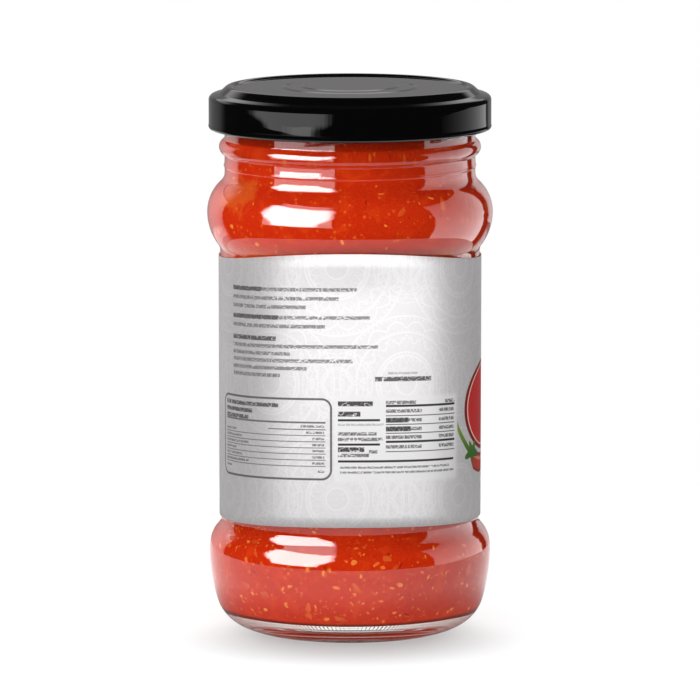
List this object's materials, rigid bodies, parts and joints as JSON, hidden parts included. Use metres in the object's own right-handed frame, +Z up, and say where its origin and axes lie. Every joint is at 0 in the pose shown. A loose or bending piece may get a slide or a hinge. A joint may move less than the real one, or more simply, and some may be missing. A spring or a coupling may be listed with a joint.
{
  "type": "jar of minced chilli",
  "caption": "Round-shouldered clear glass jar filled with orange-red minced chilli paste, closed by a black twist-off steel lid, with a pearly paper wrap label.",
  "frame": {"origin": "middle of the jar's foot, on the surface that it stands on", "axes": "+Z up along the jar's axis; -Y towards the viewer of the label's front; +X to that viewer's right"},
  "size_m": [0.0672, 0.0672, 0.1285],
  "materials": {
    "glass": "clear soda-lime glass, faintly green where it is thick, smooth, with a fine stipple round the bearing ring",
    "chilli": null,
    "lacquered_steel": "high-gloss black lacquer on thin tinplate",
    "label_paper": null
  },
  "bodies": {
    "root": {"glass_jar": "glass", "chilli_paste": "chilli", "steel_lid": "lacquered_steel", "paper_label": "label_paper"}
  },
  "joints": []
}
